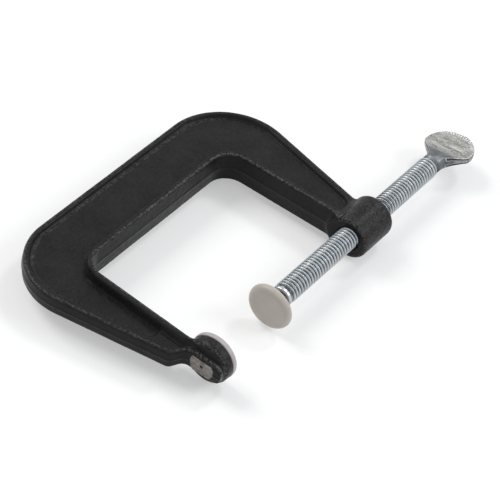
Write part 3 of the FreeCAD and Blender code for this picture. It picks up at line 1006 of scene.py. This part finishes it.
    def ring(self) -> Sheet:
        """The ribbed C as one closed tube carried along the route.

        Each station's section goes up the outer wall, over the lip, across the face, over the
        rail and down the throat wall, then back by the mirrored lower half.
        """
        way = self.route()
        stations = len(way.outer)
        at_outer = way.outer + way.outer_in * 0.9
        at_inner = way.inner + way.inner_in * 1.0
        top_outer = np.minimum(self.face_height(at_outer[:, 0], at_outer[:, 1]), self.lip)
        top_inner = self.face_height(at_inner[:, 0], at_inner[:, 1])
        top_outer = np.maximum(top_outer, 0.02)
        top_inner = np.maximum(top_inner, 0.02)
        round_outer = np.minimum(self.lip_round, top_outer)[:, None]
        round_inner = np.minimum(self.rail_round, top_inner)[:, None]
        rise = np.array([0.0, 0.06, 0.13, 0.22, 0.34, 0.48, 0.62, 0.76, 0.88, 0.96])[None, :]
        arc = np.radians(np.arange(0.0, 91.0, 15.0))[None, :]
        room = way.width()[:, None] - 0.7 - round_outer - round_inner
        squeeze = np.clip(room / 8.2, 0.004, 1.0)
        # outer wall and lip
        z1 = rise * (top_outer[:, None] - round_outer)
        d1 = self.draft * z1 / self.lip - 0.10 * np.exp(-((z1 / 0.35) ** 2))
        z2 = top_outer[:, None] - round_outer * (1.0 - np.sin(arc))
        d2 = self.draft + round_outer * (1.0 - np.cos(arc))
        # throat wall and rail, from the top down
        z5 = rise[:, ::-1] * (top_inner[:, None] - round_inner)
        d5 = self.throat_draft * z5 / self.rail - 0.12 * np.exp(-((z5 / 0.35) ** 2))
        z4 = top_inner[:, None] - round_inner * (1.0 - np.sin(arc[:, ::-1]))
        d4 = self.throat_inset + round_inner * (1.0 - np.cos(arc[:, ::-1]))
        outer_d = self.draft + round_outer + np.arange(0.2, 3.3, 0.22)[None, :] * squeeze
        inner_d = self.throat_inset + round_inner + np.arange(4.2, 0.1, -0.22)[None, :] * squeeze
        along = (way.outer[:, None] + way.outer_in[:, None] * outer_d[..., None])
        across = (way.inner[:, None] + way.inner_in[:, None] * inner_d[..., None])
        t = np.linspace(0.0, 1.0, 26)[None, 1:-1, None]
        middle = along[:, -1:] * (1.0 - t) + across[:, :1] * t
        face = np.concatenate([along, middle, across], axis=1)
        face_z = np.maximum(self.face_height(face[..., 0], face[..., 1]), 0.02)
        wall_seed = np.arange(stations)[:, None] * 0.35
        parts = []
        for base, inward, d, z in ((way.outer, way.outer_in, np.hstack([d1, d2]),
                                    np.hstack([z1, z2])),
                                   (way.inner, way.inner_in, np.hstack([d4, d5]),
                                    np.hstack([z4, z5]))):
            d = d - 0.045 * ripple(wall_seed, z, 4.0, 21) * ease(z / 1.0)
            spot = base[:, None] + inward[:, None] * d[..., None]
            swell = self.flare(spot, z)
            spot = spot - inward[:, None] * swell[..., None]
            parts.append((spot, z))
        lip, lip_z, rim, rim_z = *parts[0], *parts[1]
        flat = np.concatenate([lip, face, rim], axis=1)
        z = np.concatenate([lip_z, face_z, rim_z], axis=1)
        upper = np.concatenate([flat, z[..., None]], axis=-1)
        lower = upper[:, -2:0:-1] * np.array([1.0, 1.0, -1.0])
        grid = np.concatenate([upper, lower], axis=1)
        sunk = (np.hypot(grid[..., 1], grid[..., 2]) < self.spot + 0.02) & (
            grid[..., 0] < -7.0) & (grid[..., 2] < self.spot_top + 0.05)
        grid[..., 0] = np.where(sunk, self.jaw_back + self.spot_depth + 0.06,
                                grid[..., 0])
        sheet = weave(grid, False, True)
        sheet.lighter_share = self.edge_rub_and_highlight(flat, lip.shape[1], face.shape[1])
        caps = [self.end_cap(sheet, row, upper.shape[1], stations) for row in (0, stations - 1)]
        sheet.quads = np.concatenate([sheet.quads] + caps)
        return sheet

    def edge_rub_and_highlight(self, flat: np.ndarray, lip: int, face: int) -> np.ndarray:
        """Share of the lighter colour for each point of the ring: high on the lip's and the
        rail's edges, partly rubbed paint and partly a painted highlight.

        The line at the foot of the lip's inner wall gets a painted highlight, mostly on the
        spine.

        Args:
            flat: plan places of the upper half.
            lip: columns on the outer wall and lip.
            face: columns on the face.

        Returns:
            One value for each point, upper half then lower half.
        """
        columns = flat.shape[1]
        value = np.full(columns, 0.06)
        # Lip and rail edges: rubbed paint and painted highlight.
        value[lip - 4:lip + 1] = 0.55
        value[lip + face - 1:lip + face + 5] = 0.8
        # Painted highlight along the foot of the lip's inner wall.
        foot = self.pocket_depth(flat[..., 0], flat[..., 1]) - 1.15
        clear = ease((flat[..., 1] - 13.0) / 4.0)
        clear = clear * (0.14 + 0.46 * ease((flat[..., 1] - 62.0) / 6.0))
        upper = np.maximum(value, clear * np.exp(-((foot / 0.7) ** 2)))
        # The top strip of the jaw's plate is made much lighter.
        strip = ease((5.0 - flat[..., 1]) / 3.0) * ease((-6.3 - flat[..., 0]) / 0.3)
        upper = np.maximum(upper, 1.8 * strip * (np.arange(columns) >= lip))
        return np.concatenate([upper, upper[:, -2:0:-1]], axis=1).ravel()

    def end_cap(self, sheet: Sheet, row: int, half: int, stations: int) -> np.ndarray:
        """Closes one end of the tube by joining each upper point to the one below it.

        Args:
            sheet: the tube.
            row: its first or last station.
            half: points on the upper half.
            stations: number of stations.

        Returns:
            The quads of the cap.
        """
        total = len(sheet.points) // stations
        k = np.arange(0, half - 1)
        below = (total - k) % total
        nxt = (total - k - 1) % total
        return np.stack([k, k + 1, nxt, below], axis=1) + row * total

    def screw_boss(self) -> Sheet:
        """Threaded boss: a turned shell whose two mouths meet the thread cut in its bore."""
        mouth = self.boss_mouth
        shell = rounded_profile([(self.boss_front, mouth), (self.boss_front, self.boss),
                                 (self.boss_back, self.boss), (self.boss_back, mouth)],
                                [0, self.boss_front_round, self.boss_back_round, 0], 8)
        outside = turned(dense(shell, 0.45))
        lumps = 0.05 * ripple(outside.points[:, 0], outside.points[:, 1] * 1.3
                              + outside.points[:, 2], 3.4, 31)
        radius = np.hypot(outside.points[:, 1], outside.points[:, 2])
        swell = 1.0 + lumps / radius * (radius > mouth + 0.3)
        outside.points[:, 1:] *= swell[:, None]
        front = self.boss_front + 0.05 * ripple(outside.points[:, 1], outside.points[:, 2],
                                                3.0, 37)
        face = (outside.points[:, 0] < self.boss_front + 0.01) & (radius > mouth + 0.3)
        outside.points[:, 0] = np.where(face, front, outside.points[:, 0])
        # Painted highlight: the front rim, and light speckles over the boss's whole outside.
        rim = np.exp(-(((outside.points[:, 0] - self.boss_front - 0.3) / 0.6) ** 2))
        outside.lighter_share = np.maximum(0.75 * rim * (radius > 6.6), 0.28 * (radius > 7.0))
        phases = np.array([-PITCH / 2, -0.46, -0.36, -0.15, 0.15, 0.36, 0.46, PITCH / 2])
        radii = np.array([3.32, 3.32, 3.45, 4.03, 4.03, 3.45, 3.32, 3.32])
        limit = np.array([(self.boss_front, mouth), (self.boss_front + 1.0, 3.7),
                          (self.boss_front + 1.5, 0.0), (self.boss_back - 1.5, 0.0),
                          (self.boss_back - 1.0, 3.7), (self.boss_back, mouth)])
        bore = helix(phases, radii, self.boss_front, self.boss_back, limit, False)
        bore.lighter_share = bore.lighter_share * 0.0
        bore.zone = bore.zone * 0.0
        return together(outside, bore)

    def jaw_boss(self) -> Sheet:
        """Round boss under the fixed pad, with the blind hole for the pad's stem."""
        back, front = self.jaw_boss_back, self.jaw_boss_front
        shell = rounded_profile([(back, 0.0), (back, self.jaw_boss_radius),
                                 (front, self.jaw_boss_radius),
                                 (front, self.hole), (front - self.hole_depth, self.hole),
                                 (front - self.hole_depth, 0.0)],
                                [0, self.jaw_boss_round, 0.35, 0, 0, 0], 9)
        sheet = turned(dense(shell, 0.45))
        radius = np.hypot(sheet.points[:, 1], sheet.points[:, 2])
        lumps = 0.05 * ripple(sheet.points[:, 0] * 1.2 + sheet.points[:, 1],
                              sheet.points[:, 2], 3.2, 41)
        sheet.points[:, 1:] *= (1.0 + lumps / np.maximum(radius, 1.0) * (radius > 5.0))[:, None]
        # Painted highlight: the back rim, and light speckles over the boss's outside.
        rim = np.exp(-(((sheet.points[:, 0] - back - 0.7) / 0.6) ** 2))
        sheet.lighter_share = np.maximum(0.8 * rim, 0.25) * (radius > 6.4)
        return sheet

    def faced_spot(self) -> Sheet:
        """Faced disc on the jaw's back with its centre dimple, trimmed to the jaw's width."""
        face = self.jaw_back + self.spot_depth
        line = rounded_profile([(face + 0.85, 0.0), (face + 0.06, 0.62), (face, 0.78),
                                (face, self.spot), (face + 0.5, self.spot), (face + 0.5, 0.0)],
                               [0, 0.2, 0, 0.05, 0, 0], 4)
        sheet = turned(dense(line, 0.3))
        sheet.points[:, 2] = np.clip(sheet.points[:, 2], self.spot_low, self.spot_top)
        return sheet

    def build(self) -> list:
        """Makes and dresses the casting's pieces.

        Returns:
            The casting and the faced spot.
        """
        paint, bare = CastPaint().build(), BareIron().build()
        body = make_piece("frame_casting", together(self.ring(), self.screw_boss(),
                                                    self.jaw_boss()),
                          Body.FRAME, "frame", 44.0)
        spot = make_piece("jaw_faced_spot", self.faced_spot(), Body.FRAME, "", 30.0)
        body.data.materials.append(paint)
        spot.data.materials.append(bare)
        return [body, spot]


# The screw and the pads

@dataclass
class Spindle:
    """Zinc-plated screw in one piece: ball tip, thread, forged neck and paddle."""

    shoulder: float = 34.7633
    thread_end: float = 120.9
    end_radius: float = 3.0
    ball_x: float = 29.9
    ball: float = 2.5
    journal: float = 1.75
    rod: float = 3.62
    root_x: float = 127.2
    root_half: float = 4.9
    corner_x: float = 131.4
    centre_x: float = 132.8
    disc: float = 9.2
    half: float = 1.1
    edge: float = 0.38
    turn: float = -7.6

    def tip(self) -> Sheet:
        """Ball, journal and shoulder, turned about the axis."""
        t = np.linspace(0.0, math.pi - math.asin(self.journal / self.ball), 22)
        ball = np.stack([self.ball_x - self.ball * np.cos(t), self.ball * np.sin(t)], 1)
        ball[0, 1] = 0.0
        rest = np.array([(self.shoulder - 0.15, self.journal), (self.shoulder, 1.9),
                         (self.shoulder, self.end_radius)])
        return turned(dense(np.concatenate([ball, rest]), 0.6))

    def thread(self) -> Sheet:
        """Rolled thread with rounded crests and roots."""
        phases = np.array([-PITCH / 2, -0.56, -0.44, -0.26, -0.11, -0.045, 0.045, 0.11, 0.26,
                           0.44, 0.56, PITCH / 2])
        radii = np.array([3.13, 3.15, 3.30, 3.61, 3.87, 3.93, 3.93, 3.87, 3.61, 3.30, 3.15, 3.13])
        limit = np.array([(self.shoulder, self.end_radius), (self.shoulder + 1.1, 4.2),
                          (self.thread_end - 1.8, 4.2), (self.thread_end, self.end_radius)])
        return helix(phases, radii, self.shoulder, self.thread_end, limit, True)

    def half_width(self, x: np.ndarray) -> np.ndarray:
        """Half width of the head: neck, hollow flare, straight shoulder, then the round rim."""
        rim = np.sqrt(np.maximum(self.disc ** 2 - (x - self.centre_x) ** 2, 0.0))
        corner = math.sqrt(self.disc ** 2 - (self.corner_x - self.centre_x) ** 2)
        slope = (corner - self.root_half) / (self.corner_x - self.root_x)
        shoulder = self.root_half + (x - self.root_x) * slope
        neck = self.end_radius + (self.rod - self.end_radius) * ease((x - self.thread_end) / 0.9)
        hollow = -soft_min(-neck, -shoulder, 2.4)
        return soft_min(hollow, np.where(x > self.centre_x - 4.0, rim, 99.0), 0.5)

    def half_thick(self, x: np.ndarray) -> np.ndarray:
        """Half thickness of the head: the neck flattens to the blade, the rim is rounded."""
        neck = self.end_radius + (self.rod - self.end_radius) * ease((x - self.thread_end) / 0.9)
        flat = ease((x - self.thread_end - 0.8) / (self.root_x + 3.4 - self.thread_end))
        tail = self.centre_x + self.disc - x
        rim = np.sqrt(np.maximum(1.0 - (1.0 - np.clip(tail / 0.5, 0.0, 1.0)) ** 2, 0.0))
        return (neck * (1.0 - flat) + self.half * flat) * (0.45 + 0.55 * rim)

    def nick_band(self, x: np.ndarray, y: np.ndarray) -> np.ndarray:
        """Where the rim's far side is nicked, from 0 to 1."""
        reach = np.hypot(x - self.centre_x, y)
        turn = np.degrees(np.arctan2(y, x - self.centre_x))
        return ease((reach - self.disc + 2.0) / 0.7) * ease((62.0 - np.abs(turn + 8.0)) / 10.0)

    def rim_nicks(self, x: np.ndarray, y: np.ndarray) -> np.ndarray:
        """Depth of the short radial nicks pressed into the rim's far side."""
        turn = np.arctan2(y, x - self.centre_x)
        return 0.16 * self.nick_band(x, y) * ease(np.sin(turn * 52.0) * 0.9 + 0.5)

    def head(self) -> Sheet:
        """Neck and paddle: sections square to the axis that go from round to flat.

        Each section mixes a circle with a flat bar of rounded edges, its width and thickness
        read along the axis, and the whole is turned a little by the time it is flat.
        """
        x0, x1 = self.thread_end, self.centre_x + self.disc
        x = np.concatenate([np.linspace(x0, self.corner_x - 1.0, 46),
                            np.linspace(self.corner_x - 1.0, x1 - 2.0, 44)[1:],
                            x1 - 2.0 * (1.0 - np.sin(np.linspace(0, math.pi / 2, 22)))[1:]])
        x = x[:, None]
        w, h = self.half_width(x), self.half_thick(x)
        t = np.linspace(0.0, 2.0 * math.pi, 4 * STEPS, endpoint=False)[None, :]
        c, s = np.sin(t), -np.cos(t)
        big = np.maximum(np.abs(c), np.abs(s))
        u, v = c / big, s / big
        e = np.minimum(self.edge, np.minimum(w, h))
        flat_u = np.sign(u) * np.minimum(np.abs(u) * w, w)
        flat_v = np.sign(v) * np.abs(v) * h
        over_u = np.maximum(np.abs(flat_u) - (w - e), 0.0)
        over_v = np.maximum(np.abs(flat_v) - (h - e), 0.0)
        over = np.maximum(np.hypot(over_u, over_v), 1e-9)
        pull = np.where((over_u > 0) & (over_v > 0), np.minimum(e / over, 1.0), 1.0)
        flat_u = np.sign(u) * (np.abs(flat_u) - over_u * (1.0 - pull))
        flat_v = np.sign(v) * (np.abs(flat_v) - over_v * (1.0 - pull))
        mix = ease((x - x0 - 1.0) / (self.root_x + 1.5 - x0))
        y = c * w * (1.0 - mix) + flat_u * mix
        z = s * h * (1.0 - mix) + flat_v * mix
        on_blade = ease((x - self.root_x) / 2.5)
        wave = 0.07 * ripple(x * 1.4, y * 0.35, 3.2, 51) + 0.05 * ripple(x, y * 0.3, 1.3, 52)
        wave = wave + 0.05 * ripple(x, y, 0.8, 53) - self.rim_nicks(x, y)
        z = z + np.sign(z) * wave * on_blade * (np.abs(z) > 0.5)
        bow = math.radians(self.turn) * ease((x - x0) / 4.0)
        points = np.stack([x + 0.0 * y, y * np.cos(bow) - z * np.sin(bow),
                           y * np.sin(bow) + z * np.cos(bow)], axis=-1)
        sheet = weave(points, False, True)
        sheet.lighter_share = np.broadcast_to(on_blade, y.shape).ravel()
        # Zone for the blade's colour: the narrow sides take a painted dark reflection; their
        # edges take a lighter band, partly worn plate and partly painted highlight; the rim nicks
        # take light stripes, a painted highlight.
        side = ease((np.abs(c) - np.abs(s)) / 0.12) * ease((np.abs(v) - 0.30) / 0.15)
        nicks = 0.4 * (1.0 - self.rim_nicks(x, y) / 0.16) * self.nick_band(x, y)
        zone = np.maximum(side * ease((x - self.root_x + 2.0) / 0.6), nicks)
        sheet.zone = zone.ravel()
        return sheet

    def build(self) -> list:
        """Makes and dresses the screw.

        Returns:
            The threaded part with its tip, and the head.
        """
        shaft = together(self.tip(), self.thread())
        screw = make_piece("screw_thread", shaft, Body.SPINDLE, "screw", 50.0)
        head = make_piece("screw_paddle", self.head(), Body.SPINDLE, "", 50.0)
        screw.data.materials.append(ZincPlate().build())
        head.data.materials.append(ZincPlate(blade=True).build())
        return [screw, head]


@dataclass
class Pads:
    """The two ivory pads and the plated ring behind the moving one."""

    face_x: float = 26.1
    moving: float = 8.25
    thick: float = 2.8
    fixed: float = 8.25
    fixed_thick: float = 2.0

    def moving_pad(self) -> Sheet:
        """Moving pad: dished face, full edge, and a domed back with a ball socket."""
        f, r = self.face_x, self.moving
        back = f + self.thick
        ball, socket, dome = f + 3.8, 2.58, 3.9
        outside = rounded_profile([(f + 0.10, 0.0), (f + 0.07, r * 0.4), (f, r * 0.72), (f, r),
                                   (back, r), (back, 3.4), (back + 0.6, 3.75)],
                                  [0, 2.0, 1.5, 1.9, 0.8, 0.5, 0], 12)
        t = np.linspace(math.asin(3.78 / dome), math.acos(2.99 / dome), 8)
        shell = np.stack([ball - dome * np.cos(math.pi - t), dome * np.sin(t)], 1)[::-1]
        t = np.linspace(math.pi - math.asin(2.12 / socket), 0.0, 20)
        cup = np.stack([ball - socket * np.cos(t), socket * np.sin(t)], 1)
        cup[-1, 1] = 0.0
        line = np.concatenate([outside, shell[np.argsort(shell[:, 0])], cup])
        return turned(dense(line, 0.5))

    def fixed_pad(self) -> Sheet:
        """Fixed pad: flat face with full edges and a stem for the jaw's hole."""
        t, r = self.fixed_thick, self.fixed
        line = rounded_profile([(0.0, 0.0), (0.0, r), (-t, r), (-t, 2.47), (-t - 3.4, 2.47),
                                (-t - 3.4, 0.0)], [0, 0.85, 0.3, 0, 0.4, 0], 8)
        return turned(dense(line, 0.5))

    def ring(self) -> Sheet:
        """Plated ring with rounded edges, a closed turned loop."""
        a, b, hole, rim = 33.1434, 34.6434, 1.84, 3.9
        line = rounded_profile([(a, hole + 0.6), (a, rim), (b, rim), (b, hole), (a, hole),
                                (a, hole + 0.5)], [0, 0.45, 0.45, 0.15, 0.15, 0], 5)
        return turned(dense(line, 0.3), True)

    def build(self) -> list:
        """Makes and dresses the pads and the ring.

        Returns:
            The three pieces.
        """
        pad = make_piece("moving_pad", self.moving_pad(), Body.PAD,
                         "swivel_pad", 42.0)
        fixed = make_piece("fixed_pad", self.fixed_pad(), Body.FRAME,
                           "anvil_pad", 42.0)
        ring = make_piece("thrust_ring", self.ring(), Body.THRUST,
                          "thrust_washer", 42.0)
        # Both pad colours are the ivory plastic darkened as painted shade; the fixed pad's is
        # darker still, a shaded copy of the same plastic.
        pad.data.materials.append(PadPlastic("ivory_moving_pad", (0.50, 0.455, 0.41),
                                             (0.45, 0.41, 0.37)).build())
        fixed.data.materials.append(PadPlastic("ivory_fixed_pad", (0.43, 0.397, 0.395),
                                               (0.385, 0.355, 0.353)).build())
        ring.data.materials.append(RingSteel().build())
        return [pad, fixed, ring]


# Camera, table and lamps

@dataclass
class Studio:
    """White table, soft lamps and the camera at the photograph's angle."""

    eye: tuple = (-0.362653, -0.210543, 0.467418)
    right: tuple = (0.602622, -0.786456, 0.135398)
    up: tuple = (0.509240, 0.509604, 0.693526)
    back: tuple = (-0.614427, -0.348984, 0.707594)
    lens: float = 145.0
    table_z: float = -0.0092
    aim_at: tuple = (0.05, 0.03, 0.0)
    world: float = 0.45

    def camera(self) -> None:
        """Sets the camera from its three axes and its place."""
        data = bpy.data.cameras.new("camera")
        data.sensor_fit, data.sensor_width, data.lens = "HORIZONTAL", 36.0, self.lens
        data.clip_start, data.clip_end = 0.05, 20.0
        cam = bpy.data.objects.new("camera", data)
        turn = Matrix([self.right, self.up, self.back]).transposed().to_4x4()
        cam.matrix_world = Matrix.Translation(Vector(self.eye)) @ turn
        bpy.context.scene.collection.objects.link(cam)
        bpy.context.scene.camera = cam

    def white_for_camera(self, tree: bpy.types.NodeTree, shader: bpy.types.NodeSocket,
                         kind: str, share: float = 1.0) -> bpy.types.NodeSocket:
        """Shows white to the camera, mirrors and glass, and the shader to other rays.

        Args:
            tree: node tree to add to.
            shader: what other rays see.
            kind: name of the white light's node.
            share: how much of what the camera sees is white.

        Returns:
            The mixed shader.
        """
        path = tree.nodes.new("ShaderNodeLightPath")
        total = path.outputs["Is Camera Ray"]
        for name in ("Is Glossy Ray", "Is Transmission Ray"):
            add = tree.nodes.new("ShaderNodeMath")
            add.operation, add.use_clamp = "ADD", True
            tree.links.new(total, add.inputs[0])
            tree.links.new(path.outputs[name], add.inputs[1])
            total = add.outputs["Value"]
        part = tree.nodes.new("ShaderNodeMath")
        part.operation = "MULTIPLY"
        part.inputs[1].default_value = share
        tree.links.new(total, part.inputs[0])
        total = part.outputs["Value"]
        white = tree.nodes.new(kind)
        white.inputs["Color"].default_value = (1.0, 1.0, 1.0, 1.0)
        white.inputs["Strength"].default_value = 1.0
        mix = tree.nodes.new("ShaderNodeMixShader")
        tree.links.new(total, mix.inputs["Fac"])
        tree.links.new(shader, mix.inputs[1])
        tree.links.new(white.outputs[0], mix.inputs[2])
        return mix.outputs["Shader"]

    def surroundings(self) -> None:
        """Even pale light from all round."""
        world = bpy.data.worlds.new("soft_room")
        world.use_nodes = True
        bpy.context.scene.world = world
        tree = world.node_tree
        room = tree.nodes["Background"]
        room.inputs["Color"].default_value = (0.96, 0.98, 1.0, 1.0)
        room.inputs["Strength"].default_value = self.world
        mixed = self.white_for_camera(tree, room.outputs["Background"], "ShaderNodeBackground")
        tree.links.new(mixed, tree.nodes["World Output"].inputs["Surface"])

    def table(self) -> None:
        """Wide white table top that takes the object's shadow."""
        t = np.linspace(-1.0, 1.0, 9)
        x, y = np.meshgrid(t * 3.0, t * 3.0, indexing="ij")
        sheet = weave(np.stack([x, y, np.full_like(x, self.table_z)], -1), False, False)
        mesh = bpy.data.meshes.new("table_top")
        mesh.from_pydata(sheet.points.tolist(), [], sheet.quads.tolist())
        table = bpy.data.objects.new("table_top", mesh)
        bpy.context.scene.collection.objects.link(table)
        material = bpy.data.materials.new("white_table")
        material.use_nodes = True
        shader = material.node_tree.nodes["Principled BSDF"]
        shader.inputs["Base Color"].default_value = (1.0, 1.0, 1.0, 1.0)
        shader.inputs["Roughness"].default_value = 0.9
        shader.inputs["Specular IOR Level"].default_value = 0.0
        tree = material.node_tree
        pale = self.white_for_camera(tree, shader.outputs["BSDF"], "ShaderNodeEmission", 0.4)
        tree.links.new(pale, tree.nodes["Material Output"].inputs["Surface"])
        mesh.materials.append(material)

    def lamp(self, name: str, place: tuple, size: float, power: float, tint: tuple) -> None:
        """Adds a square soft lamp that points at the clamp.

        Args:
            name: name of the lamp.
            place: where it hangs, in metres.
            size: side of the square in metres.
            power: watts.
            tint: colour.
        """
        data = bpy.data.lights.new(name, "AREA")
        data.shape, data.size, data.energy, data.color = "SQUARE", size, power, tint
        lamp = bpy.data.objects.new(name, data)
        lamp.location = place
        aim = Vector(self.aim_at) - Vector(place)
        lamp.rotation_mode = "QUATERNION"
        lamp.rotation_quaternion = aim.to_track_quat("-Z", "Y")
        bpy.context.scene.collection.objects.link(lamp)

    def build(self) -> None:
        """Sets up the camera, the room, the table and the lamps."""
        bpy.context.scene.view_settings.view_transform = "Standard"
        self.camera()
        self.surroundings()
        self.table()
        self.lamp("key_lamp", (-0.1, 1.5, 1.5), 1.0, 22.0, (1.0, 0.99, 0.97))
        self.lamp("glint_lamp", (0.75, -0.1, 0.95), 0.22, 2.6, (1.0, 1.0, 1.0))
        self.lamp("side_lamp", (0.9, -1.3, 1.2), 0.9, 13.0, (0.96, 0.98, 1.0))


def main() -> None:
    """Builds the studio and the clamp, and logs every piece."""
    logging.basicConfig(level=logging.INFO, format="%(message)s")
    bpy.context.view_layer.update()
    Studio().build()
    pieces = Casting().build() + Spindle().build() + Pads().build()


if __name__ == "__main__":
    main()
